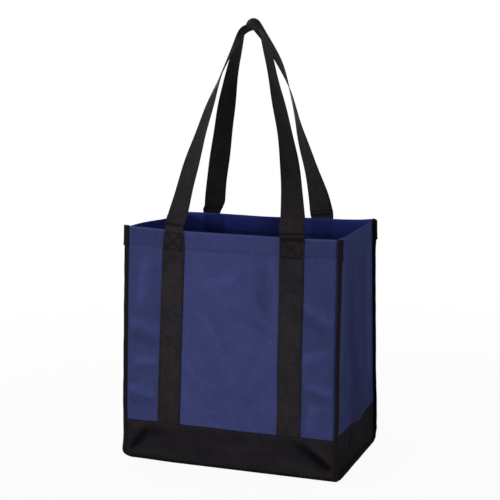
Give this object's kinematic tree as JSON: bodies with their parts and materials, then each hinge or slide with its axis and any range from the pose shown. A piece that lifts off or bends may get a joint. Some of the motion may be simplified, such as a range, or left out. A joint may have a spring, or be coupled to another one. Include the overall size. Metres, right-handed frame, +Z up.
{
  "type": "shopping tote bag",
  "caption": "Free-standing non-woven shopping tote with side gussets, contrast base, bound seams, long twisting strap handles and a loose base board.",
  "frame": {"origin": "on the floor, under the middle of the base", "axes": "+Z up to the handles, +X to the right of the front panel, -Y out of the front panel"},
  "size_m": [0.323, 0.2092, 0.6156],
  "materials": {
    "navy_cloth": "point-bonded non-woven cloth, matte with a faint sheen",
    "black_cloth": "point-bonded non-woven cloth, matte",
    "black_tape": "folded binding tape, matte",
    "black_strap": "folded non-woven strap, matte with a faint sheen",
    "board": "fine-textured black plastic sheet"
  },
  "bodies": {
    "bag": {"base_wrap": "black_cloth", "front_panel": "navy_cloth", "back_panel": "navy_cloth", "left_gusset": "navy_cloth", "right_gusset": "navy_cloth", "left_gusset_band": "black_cloth", "right_gusset_band": "black_cloth", "left_binding": "black_tape", "right_binding": "black_tape", "front_left_cap": "black_tape", "front_right_cap": "black_tape", "back_left_cap": "black_tape", "back_right_cap": "black_tape", "front_left_leg": "black_strap", "front_right_leg": "black_strap", "back_left_leg": "black_strap", "back_right_leg": "black_strap"},
    "front_handle": {"front_loop": "black_strap"},
    "back_handle": {"back_loop": "black_strap"},
    "board": {"base_board": "board"}
  },
  "joints": [
    {"name": "front_handle_swing", "type": "hinge", "parent": "bag", "child": "front_handle", "pos_m": [0, -0.09681, 0.33025], "axis": [1, 0, 0], "range_deg": [0, 190]},
    {"name": "back_handle_swing", "type": "hinge", "parent": "bag", "child": "back_handle", "pos_m": [0, 0.09681, 0.33025], "axis": [-1, 0, 0], "range_deg": [0, 190]},
    {"name": "base_board_tilt", "type": "hinge", "parent": "bag", "child": "board", "pos_m": [0, 0.09677, 0.0018], "axis": [-1, 0, 0], "range_deg": [0, 85]}
  ]
}
